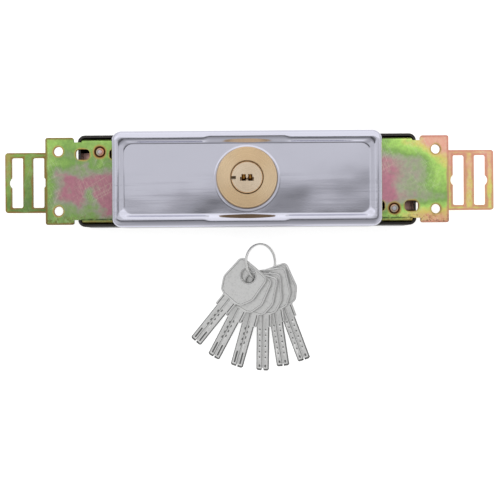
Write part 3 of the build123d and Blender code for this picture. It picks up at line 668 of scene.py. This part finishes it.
def rounded(points, reaches, steps):
    """The path with its corners turned into curves that start their reach away from them."""
    path = []
    for index, (point, reach) in enumerate(zip(points, reaches)):
        here = Vector(point)
        if not reach:
            path.append(here)
            continue
        before, after = Vector(points[index - 1]), Vector(points[index + 1])
        cut = min(reach, (before - here).length * 0.7, (after - here).length * 0.7)
        start = here + (before - here).normalized() * cut
        end = here + (after - here).normalized() * cut
        for share in (step / steps for step in range(steps + 1)):
            rest = 1 - share
            path.append(start * rest**2 + here * (2 * share * rest) + end * share**2)
    return path


def skin(work, loops):
    """Faces between each closed loop of points and the next."""
    for lower, upper in zip(loops, loops[1:]):
        for index in range(len(lower)):
            after = (index + 1) % len(lower)
            work.faces.new((lower[index], lower[after], upper[after], upper[index]))


def mesh_from(work, name):
    """Finishes a bmesh into a mesh with its faces turned outward."""
    bmesh.ops.recalc_face_normals(work, faces=work.faces)
    mesh = bpy.data.meshes.new(name)
    work.to_mesh(mesh)
    work.free()
    return mesh


def solid_of(work, loops):
    """A closed solid through loops of points."""
    loops = [[work.verts.new(point) for point in loop] for loop in loops]
    skin(work, loops)
    work.faces.new(loops[0][::-1])
    work.faces.new(loops[-1])


def swept(work, path, section, up):
    """A closed bar of the section, (across, up) points, along a path."""
    loops = []
    for index, point in enumerate(path):
        before = path[max(index - 1, 0)]
        after = path[min(index + 1, len(path) - 1)]
        ahead = (after - before).normalized()
        lift = (up - ahead * up.dot(ahead)).normalized()
        across = ahead.cross(lift)
        loops.append([point + across * a + lift * b for a, b in section])
    solid_of(work, loops)


# Cover

# Half of the fan, in degrees, that divides the long sides, and the steps of fan, sides and corners
FAN_HALF = 74
FAN_STEPS = 80
SHORT_STEPS = 14
CORNER_STEPS = 9
# The recess is wider on its long sides beside the cylinder, and narrower further out
SWELL_HALF = 22.5 * MM
SWELL_END = 4.0 * MM
SWELL_SHARE = 0.15
COVER_CORNER = 6 * MM
RECESS_CORNER = 5 * MM
FLANGE_HOLE = 14.2 * MM


def eased(share):
    """The share kept between 0 and 1, with a soft start and end."""
    share = min(1.0, max(0.0, share))
    return share * share * (3 - 2 * share)


def cover_ring(half_x, half_y, radius, height, draw):
    """Points of a rounded rectangle whose long sides are drawn in, less so beside the cylinder."""
    limit_x = half_x - radius
    limit_y = half_y - radius
    # The long sides are divided as seen from the middle
    fan = [radians(-FAN_HALF + 2 * FAN_HALF * step / FAN_STEPS) for step in range(1, FAN_STEPS)]
    long_side = [limit_x * tan(angle) / tan(radians(FAN_HALF)) for angle in fan]
    short_side = [limit_y * (2 * step / SHORT_STEPS - 1) for step in range(1, SHORT_STEPS)]
    corner = [radians(90) * step / CORNER_STEPS for step in range(CORNER_STEPS + 1)]
    points = [(half_x, y) for y in short_side]
    points += [(limit_x + radius * cos(a), limit_y + radius * sin(a)) for a in corner]
    points += [(-x, half_y) for x in long_side]
    points += [(-limit_x - radius * sin(a), limit_y + radius * cos(a)) for a in corner]
    # The other half is the same, turned by half a turn
    points += [(-x, -y) for x, y in points]
    ring = []
    for x, y in points:
        beside = 1 - eased((abs(x) - SWELL_HALF) / SWELL_END)
        inward = draw * (1 + (SWELL_SHARE - 1) * beside) * eased((abs(y) - limit_y) / radius)
        ring.append(Vector((x, y - copysign(inward, y), height)))
    return ring


def cover_mesh():
    """The pressed cover: skirt, rolled edge, rim, sloped recess, panel, and the cylinder's seat."""
    shape = bpy.context.scene.door_lock_shape
    low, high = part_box("cover")
    plate_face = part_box("front_plate")[1].z
    panel = high.z - shape.cover_recess
    foot = shape.cover_rim + shape.cover_slope
    # Inset from the outside, and height, of the pressed form
    form = rounded(
        [(0, plate_face), (0, high.z), (shape.cover_rim, high.z), (foot, panel),
         (foot + 1.0 * MM, panel)],
        [0, shape.cover_roll, 1.3 * MM, 1.5 * MM, 0], 9)
    work = bmesh.new()
    loops = []
    for inset, height in form:
        share = (inset - shape.cover_roll) / (shape.cover_rim - shape.cover_roll)
        share = min(1.0, max(0.0, share))
        radius = max(COVER_CORNER - inset, 0.5 * COVER_CORNER) * (1 - share) + RECESS_CORNER * share
        # Share of the long sides' extra rim that this loop takes up
        part = min(inset / shape.cover_rim, (foot - inset) / shape.cover_slope)
        ring = cover_ring(high.x - inset, high.y - inset, radius, height,
                          shape.cover_long_rim * max(0.0, part))
        loops.append([work.verts.new(point) for point in ring])
    # The seat, and the hole that the cylinder's flange covers
    seat = shape.seat_radius
    rise = rounded(
        [(seat + 0.8 * MM, panel), (seat, panel), (seat - 1.2 * MM, panel + shape.seat_height),
         (FLANGE_HOLE, panel + shape.seat_height)],
        [0, 0.6 * MM, 0.5 * MM, 0], 5)
    angles = [atan2(vert.co.y, vert.co.x) for vert in loops[-1]]
    for radius, height in rise:
        loops.append([work.verts.new((radius * cos(a), radius * sin(a), height)) for a in angles])
    skin(work, loops)
    # The long sides lap over the tray
    limit = high.x - COVER_CORNER + 0.01 * MM
    outer = loops[0]
    for index, vert in enumerate(outer):
        after = outer[(index + 1) % len(outer)]
        if max(abs(vert.co.x), abs(after.co.x)) <= limit and abs(vert.co.y) > high.y - 0.1 * MM:
            dropped = [work.verts.new((v.co.x, v.co.y, low.z)) for v in (vert, after)]
            work.faces.new((dropped[0], dropped[1], after, vert))
    bmesh.ops.remove_doubles(work, verts=work.verts, dist=0.002 * MM)
    return mesh_from(work, "cover_shown")


class DOORLOCK_OT_case(bpy.types.Operator):
    """Paints the tray and gives the plate, its rivets and its posts their zinc"""

    bl_idname = "door_lock.case"
    bl_label = "Tray and front plate"

    def execute(self, context):
        shape = context.scene.door_lock_shape
        softened_node("tray", "black_paint", shape.paint_edge, steps=3)
        softened_node(
            "front_plate", "yellow_zinc", shape.sheet_edge, "yellow_zinc", "zinc_edge", steps=3)
        softened_node("spacer_posts", "plain_zinc", shape.turned_edge)
        softened_node("spring_rivets", "plain_zinc", shape.turned_edge, "rivet_zinc")
        softened_node("bridge_rivets", "plain_zinc", shape.turned_edge)
        return {"FINISHED"}


class DOORLOCK_OT_tongues(bpy.types.Operator):
    """Coats the two tongues and blunts their sheared edges"""

    bl_idname = "door_lock.tongues"
    bl_label = "Tongues"

    def execute(self, context):
        edge = context.scene.door_lock_shape.sheet_edge * 0.8
        for node in ("left_bolt", "right_bolt"):
            softened_node(node, "zinc_tongue", edge, "zinc_tongue", "zinc_edge")
        return {"FINISHED"}


class DOORLOCK_OT_cover(bpy.types.Operator):
    """Presses the chrome cover with its rolled edge, recess and seat"""

    bl_idname = "door_lock.cover"
    bl_label = "Cover"

    def execute(self, context):
        piece = add_piece(cover_mesh(), "cover", "polished_chrome")
        piece.data.shade_smooth()
        wall = piece.modifiers.new("wall", "SOLIDIFY")
        wall.thickness = context.scene.door_lock_shape.cover_wall
        wall.offset = -1
        wall.use_even_offset = False
        baked(piece)
        smooth_by_angle(piece.data, 50)
        return {"FINISHED"}


# The cylinder's face: its height, how deep and wide its rim is, and how far it comes out
FACE_Z = 43.1 * MM
FACE_RIM = 1.2 * MM
FACE_INNER = 16.5 * MM
FACE_WIDER = 0.75 * MM
# Springs in two rows of chambers
SPRING_ROWS = (-2 * MM, 2 * MM)
SPRING_TOP = 34.4 * MM
SPRING_PITCH = 3.4 * MM
SPRINGS_A_ROW = 5
SPRING_RADIUS = 0.83 * MM
SPRING_WIRE = 0.18 * MM
SPRING_COILS = 5
COIL_STEPS = 14


class DOORLOCK_OT_cylinder(bpy.types.Operator):
    """Turns the brass cylinder and its plug and fits the pins"""

    bl_idname = "door_lock.cylinder"
    bl_label = "Key cylinder"

    def execute(self, context):
        edge = context.scene.door_lock_shape.turned_edge
        body = softened_node("cylinder_body", "satin_brass", 0.15 * MM)
        self.widen_face(body.data)
        softened_node("plug", "turned_brass", 0.15 * MM)
        for node in ("key_pins", "driver_pins", "chamber_plugs"):
            softened_node(node, "pin_brass", edge)
        self.coil_springs()
        return {"FINISHED"}

    def widen_face(self, mesh):
        """Brings the rim of the flange's face out to its steep flank."""
        for vert in mesh.vertices:
            radius = vert.co.xy.length
            if vert.co.z > FACE_Z - FACE_RIM and radius > FACE_INNER:
                vert.co.x *= (radius + FACE_WIDER) / radius
                vert.co.y *= (radius + FACE_WIDER) / radius

    def coil_springs(self):
        """Winds a spring in every chamber of the cylinder."""
        low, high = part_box("pin_springs")
        start = low.y + SPRING_WIRE
        length = high.y - low.y - 2 * SPRING_WIRE
        steps = SPRING_COILS * COIL_STEPS
        turns = [2 * pi * step / COIL_STEPS for step in range(steps + 1)]
        section = [(SPRING_WIRE * cos(2 * pi * side / 6), SPRING_WIRE * sin(2 * pi * side / 6))
                   for side in range(6)]
        work = bmesh.new()
        for row in SPRING_ROWS:
            for place in range(SPRINGS_A_ROW):
                level = SPRING_TOP - SPRING_PITCH * place
                path = [Vector((row + SPRING_RADIUS * cos(turn), start + length * step / steps,
                                level + SPRING_RADIUS * sin(turn)))
                        for step, turn in enumerate(turns)]
                swept(work, path, section, Vector((0, 1, 0)))
        piece = add_piece(mesh_from(work, "pin_springs_shown"), "pin_springs", "spring_steel")
        smooth_by_angle(piece.data, 50)


class DOORLOCK_OT_drive(bpy.types.Operator):
    """Finishes the nut, washer, clip, pinion, bridge and leaf springs behind the plate"""

    bl_idname = "door_lock.drive"
    bl_label = "Drive and springs"

    def execute(self, context):
        edge = context.scene.door_lock_shape.turned_edge
        for node in ("cylinder_nut", "lock_washer", "drive_pinion", "pinion_bridge"):
            softened_node(node, "plain_zinc", edge)
        for node in ("plug_circlip", "left_bolt_spring", "right_bolt_spring"):
            softened_node(node, "spring_steel", edge)
        return {"FINISHED"}


# The split ring: steps in each of its two turns, where its wire starts, the share of a turn at
# which it begins to cross over and how long it takes, and its flat section for a wire radius of 1
RING_STEPS = 96
RING_START = 0.7
CROSSING = (0.88, 0.24)
RING_SECTION = ((0.8, 0.3), (0.6, 0.47), (-0.6, 0.47), (-0.8, 0.3),
                (-0.8, -0.3), (-0.6, -0.47), (0.6, -0.47), (0.8, -0.3))


class DOORLOCK_OT_key_ring(bpy.types.Operator):
    """Winds the split ring as two turns of flat wire"""

    bl_idname = "door_lock.key_ring"
    bl_label = "Key ring"

    def execute(self, context):
        wire = context.scene.door_lock_shape.ring_wire
        points = [vert.co for vert in nodes["key_ring"].data.vertices]
        centre = sum(points, Vector()) / len(points)
        far = max(points, key=lambda point: (point - centre).length) - centre
        third = max(points, key=lambda point: (point - centre).cross(far).length) - centre
        axis = far.cross(third).normalized()
        if axis.z < 0:
            axis = -axis
        middle = far.length - wire
        side = axis.orthogonal().normalized()
        front = axis.cross(side)
        path = []
        for step in range(2 * RING_STEPS - 1):
            turn = 2 * pi * step / RING_STEPS
            # Each turn keeps its level, and the wire crosses over between them
            crossed = min(1.0, max(0.0, (step / RING_STEPS - CROSSING[0]) / CROSSING[1]))
            out = side * cos(turn + RING_START) + front * sin(turn + RING_START)
            path.append(centre + out * middle + axis * ((2 * crossed - 1) * wire * 0.5))
        work = bmesh.new()
        swept(work, path, [(a * wire, b * wire) for a, b in RING_SECTION], axis)
        piece = add_piece(mesh_from(work, "key_ring_shown"), "key_ring", "nickel_wire")
        smooth_by_angle(piece.data, 50)
        return {"FINISHED"}


# Keys

# Millimetres in a key's own frame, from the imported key: the tip is at -Y and the faces at +-Z
KEY_HALF = 1.0
BLADE_HALF = 4.1
BOW_END_Y = -19.4
FIN_END_Y = -27.6
TIP_Y = -56.0
FIN_SLOT_X = 4.2
DIMPLE = 0.5
DIMPLE_X = 1.9
DIMPLE_START = -29.5
DIMPLE_PITCH = 3.6
DIMPLE_COUNT = 6
DIMPLE_DEPTHS = (0.5, 0.3, 0.42, 0.25, 0.36)
PIT_CLEAR = 0.05
PIT_STEPS = 16
CUT_CLEAR = 0.1


def key_frame(key):
    """Matrix of a key: its hole at the origin, +X across it, +Y from the blade, +Z its normal."""
    joint = joints[f"{key}_swing"]
    origin = Vector(joint["pos_m"])
    normal = Vector(joint["axis"]).normalized()
    points = [vert.co for vert in nodes[key].data.vertices]
    far = max((point - origin).length for point in points)
    tips = [point for point in points if (point - origin).length > far - 0.01 * MM]
    tip = sum(tips, Vector()) / len(tips) - origin
    back = -(tip - normal * tip.dot(normal)).normalized()
    across = back.cross(normal)
    frame_matrix = Matrix((across, back, normal)).transposed().to_4x4()
    frame_matrix.translation = origin
    return frame_matrix


def sunk(work, middle, half_x, half_y, face, depth, taper=0.5):
    """An oval pit cut into the upper (face 1) or lower (face -1) side of a key."""
    spread = 1 + (1 - taper) * PIT_CLEAR / depth
    loops = []
    for size, level in ((spread, KEY_HALF + PIT_CLEAR), (taper, KEY_HALF - depth)):
        loop = []
        for index in range(PIT_STEPS):
            turn = 2 * pi * index / PIT_STEPS
            straight = (half_y - half_x) * (1 if sin(turn) > 0 else -1)
            loop.append(Vector((
                middle[0] + size * half_x * cos(turn),
                middle[1] + size * half_x * sin(turn) + straight,
                face * level)) * MM)
        loops.append(loop)
    solid_of(work, loops)


def key_cutter(turned):
    """What is milled out of a key blade, in millimetres in the key's own frame."""
    work = bmesh.new()
    high = KEY_HALF + CUT_CLEAR
    for face in (1, -1):
        coded = face == (-1 if turned else 1)
        for side in (-1, 1):
            for place in range(DIMPLE_COUNT):
                along = DIMPLE_START - DIMPLE_PITCH * place
                if coded:
                    depth = DIMPLE_DEPTHS[(place * 2 + side) % len(DIMPLE_DEPTHS)]
                    sunk(work, (side * DIMPLE_X, along), DIMPLE, DIMPLE, face, depth)
                elif place < DIMPLE_COUNT - 2:
                    sunk(work, (side * 0.9, along + side * 0.8), 0.5, 0.9, face, 0.16)
            if coded:
                sunk(work, (side * DIMPLE_X, TIP_Y + 2.9), 0.6, 0.95, face, 0.45)
            else:
                sunk(work, (side * DIMPLE_X, TIP_Y + 6.2), 0.5, 4.0, face, 0.55, 0.6)
            # Shallow slot between the blade and the fin, and the blade's bevelled long edge
            sunk(work, (side * FIN_SLOT_X, (BOW_END_Y + FIN_END_Y) / 2), 0.28, 3.7, face, 0.4, 0.6)
            corner = [(BLADE_HALF + CUT_CLEAR, high), (BLADE_HALF - 0.75, high),
                      (BLADE_HALF + CUT_CLEAR, KEY_HALF - 0.6)]
            solid_of(work, [[Vector((side * x, y, face * z)) * MM for x, z in corner]
                            for y in (FIN_END_Y - 0.3, TIP_Y - 0.3)])
        slope = [(TIP_Y + 1.5, high), (TIP_Y - CUT_CLEAR, high),
                 (TIP_Y - CUT_CLEAR, KEY_HALF - 0.55)]
        solid_of(work, [[Vector((x, y, face * z)) * MM for y, z in slope]
                        for x in (-BLADE_HALF - 0.2, BLADE_HALF + 0.2)])
    notch = [(-0.95, TIP_Y - 0.2), (0.95, TIP_Y - 0.2), (0.5, TIP_Y + 1.5), (-0.5, TIP_Y + 1.5)]
    solid_of(work, [[Vector((x, y, z)) * MM for x, y in notch] for z in (-1.3, 1.3)])
    return mesh_from(work, "key_cutter")


class DOORLOCK_OT_keys(bpy.types.Operator):
    """Cuts the dimples, grooves and stepped tips into the six keys"""

    bl_idname = "door_lock.keys"
    bl_label = "Keys"

    def execute(self, context):
        # The bevelled edges take the second, darker grey as painted shade between the keys; the
        # milled cuts take it too
        finish_names = ("nickel_key", "milled_nickel")
        for key in KEYS:
            piece = softened_node(key, "nickel_key", 0.22 * MM, *finish_names)
            baked(piece)
            mesh = key_cutter(turned=key in TURNED_KEYS)
            for finish_name in finish_names:
                mesh.materials.append(finish_called(finish_name))
            mesh.polygons.foreach_set("material_index", [1] * len(mesh.polygons))
            cutter = linked("key_cutter", mesh)
            cutter.matrix_world = key_frame(key)
            cut = piece.modifiers.new("milling", "BOOLEAN")
            cut.operation = "DIFFERENCE"
            cut.solver = "EXACT"
            cut.use_self = True
            cut.object = cutter
            context.view_layer.update()
            baked(piece)
            bpy.data.objects.remove(cutter)
            smooth_by_angle(piece.data, 32)
        return {"FINISHED"}


# Studio

# Brightness of the floor for the camera, and the share of it that the metal mirrors
FLOOR_GLOW = 0.7
FLOOR_MIRRORED = 0.45
# How much brighter the room is to the left than to the right
ROOM_LEAN = 0.16
# Share of the room's light by direction: from -Y, over the top, to +Y
ROOM_LEVELS = ((-1.0, 0.85), (-0.85, 0.55), (-0.5, 0.42), (-0.12, 0.30), (-0.05, 0.08),
               (0.02, 0.14), (0.05, 0.32), (0.10, 0.72), (0.3, 0.66), (0.7, 0.66), (1.0, 0.82))
# Levels of the walls at the left and at the right, how far out they are, and where they begin
ROOM_WALLS = (0.48, 0.67)
WALL_REACH = 0.6
WALL_START = (0.25, 0.55)


class DOORLOCK_OT_stage(bpy.types.Operator):
    """Sets up the pale floor, the soft lamps and the camera over the lock"""

    bl_idname = "door_lock.stage"
    bl_label = "Studio"

    def execute(self, context):
        studio = context.scene.door_lock_studio
        self.floor(studio)
        self.sky(studio)
        self.lamp("key_lamp", (0.0, 0.9, 1.0), (3.0, 1.6), studio.key_power)
        self.lamp("side_lamp", (-1.1, -0.1, 0.9), (2.0, 2.0), studio.side_power)
        self.camera(studio)
        context.scene.view_settings.view_transform = "Standard"
        return {"FINISHED"}

    def floor(self, studio):
        """White paper with the lock's shadow, that glows for the camera and less for the metal."""
        half = studio.floor_size / 2
        mesh = bpy.data.meshes.new("floor")
        mesh.from_pydata([(-half, -half, 0), (half, -half, 0), (half, half, 0), (-half, half, 0)],
                         [], [(0, 1, 2, 3)])
        material = bpy.data.materials.new("floor_paper")
        material.use_nodes = True
        paper = Nodes(material.node_tree)
        paper.tree.nodes.clear()
        camera, glossy, transmission = paper.rays("Camera", "Glossy", "Transmission")
        seen = camera.highest(glossy * FLOOR_MIRRORED).highest(transmission)
        glow = paper.value("ShaderNodeEmission", (1, 1, 1), seen * FLOOR_GLOW)
        matt = paper.value("ShaderNodeBsdfDiffuse", (0.9, 0.9, 0.9))
        paper.node("ShaderNodeOutputMaterial", paper.value("ShaderNodeAddShader", matt, glow))
        mesh.materials.append(material)
        linked("floor", mesh)

    def sky(self, studio):
        """A room that is bright beyond the lock and to the left, and dark round the camera."""
        world = bpy.data.worlds.new("studio_room")
        world.use_nodes = True
        bpy.context.scene.world = world
        room = Nodes(world.node_tree)
        x, y, _ = room.split(room.value("ShaderNodeTexCoord", output="Generated"))
        across = x.scaled(-ROOM_LEAN, y)
        levels = room.node("ShaderNodeFloatCurve", None, across.scaled(0.5, 0.5))
        stops = [(0.5 + direction / 2, level) for direction, level in ROOM_LEVELS]
        curve = levels.mapping.curves[0]
        for point, stop in zip(curve.points, (stops[0], stops[-1])):
            point.location = stop
        for stop in stops[1:-1]:
            curve.points.new(*stop)
        levels.mapping.update()
        # Far to either side the room has an even wall
        wall = room.value("ShaderNodeMapRange", x, -WALL_REACH, WALL_REACH, *ROOM_WALLS)
        share = room.value("ShaderNodeMapRange", abs(x), *WALL_START, 0.0, 1.0)
        mixed = room.value("ShaderNodeMix", share, None, Value(room, levels.outputs[0]), wall)
        # Behind the floor the room is white, and the metal mirrors its levels
        camera, transmission = room.rays("Camera", "Transmission")
        strength = (mixed * studio.sky).highest(camera.highest(transmission))
        back = room.tree.nodes["Background"]
        room.feed(back.inputs["Color"], (1, 1, 1))
        room.feed(back.inputs["Strength"], strength)

    def lamp(self, name, place, size, power):
        """A soft rectangular lamp that points at the lock."""
        light = bpy.data.lights.new(name, "AREA")
        light.shape = "RECTANGLE"
        light.size, light.size_y = size
        light.energy = power
        lamp = linked(name, light)
        lamp.location = place
        lamp.rotation_euler = (-Vector(place)).to_track_quat("-Z", "Y").to_euler()

    def camera(self, studio):
        """The camera that looks straight down, as in the photo."""
        lens = bpy.data.cameras.new("camera")
        lens.lens = studio.camera_lens
        camera = linked("camera", lens)
        camera.location = (studio.camera_x, studio.camera_y, studio.camera_height)
        camera.rotation_euler = (0, 0, studio.camera_roll)
        bpy.context.scene.camera = camera


OPERATORS = (
    DOORLOCK_OT_case,
    DOORLOCK_OT_tongues,
    DOORLOCK_OT_cover,
    DOORLOCK_OT_cylinder,
    DOORLOCK_OT_drive,
    DOORLOCK_OT_key_ring,
    DOORLOCK_OT_keys,
    DOORLOCK_OT_stage,
)


class DOORLOCK_PT_panel(bpy.types.Panel):
    """Lists the steps and their settings"""

    bl_idname = "DOORLOCK_PT_panel"
    bl_label = "Garage door lock"
    bl_space_type = "VIEW_3D"
    bl_region_type = "UI"
    bl_category = "Door lock"

    def draw(self, context):
        for operator in OPERATORS:
            self.layout.operator(operator.bl_idname)
        for name in SETTINGS:
            group = getattr(context.scene, name)
            box = self.layout.box()
            for setting in group.bl_rna.properties:
                if setting.identifier not in ("rna_type", "name"):
                    box.prop(group, setting.identifier)


def register():
    for name, group in SETTINGS.items():
        bpy.utils.register_class(group)
        setattr(bpy.types.Scene, name, bpy.props.PointerProperty(type=group))
    for operator in OPERATORS:
        bpy.utils.register_class(operator)
    bpy.utils.register_class(DOORLOCK_PT_panel)


def unregister():
    bpy.utils.unregister_class(DOORLOCK_PT_panel)
    for operator in reversed(OPERATORS):
        bpy.utils.unregister_class(operator)
    for name, group in SETTINGS.items():
        delattr(bpy.types.Scene, name)
        bpy.utils.unregister_class(group)


def main():
    register()
    bpy.ops.door_lock.case()
    bpy.ops.door_lock.tongues()
    bpy.ops.door_lock.cover()
    bpy.ops.door_lock.cylinder()
    bpy.ops.door_lock.drive()
    bpy.ops.door_lock.key_ring()
    bpy.ops.door_lock.keys()
    bpy.ops.door_lock.stage()
    bpy.context.view_layer.update()


if __name__ == "__main__":
    main()
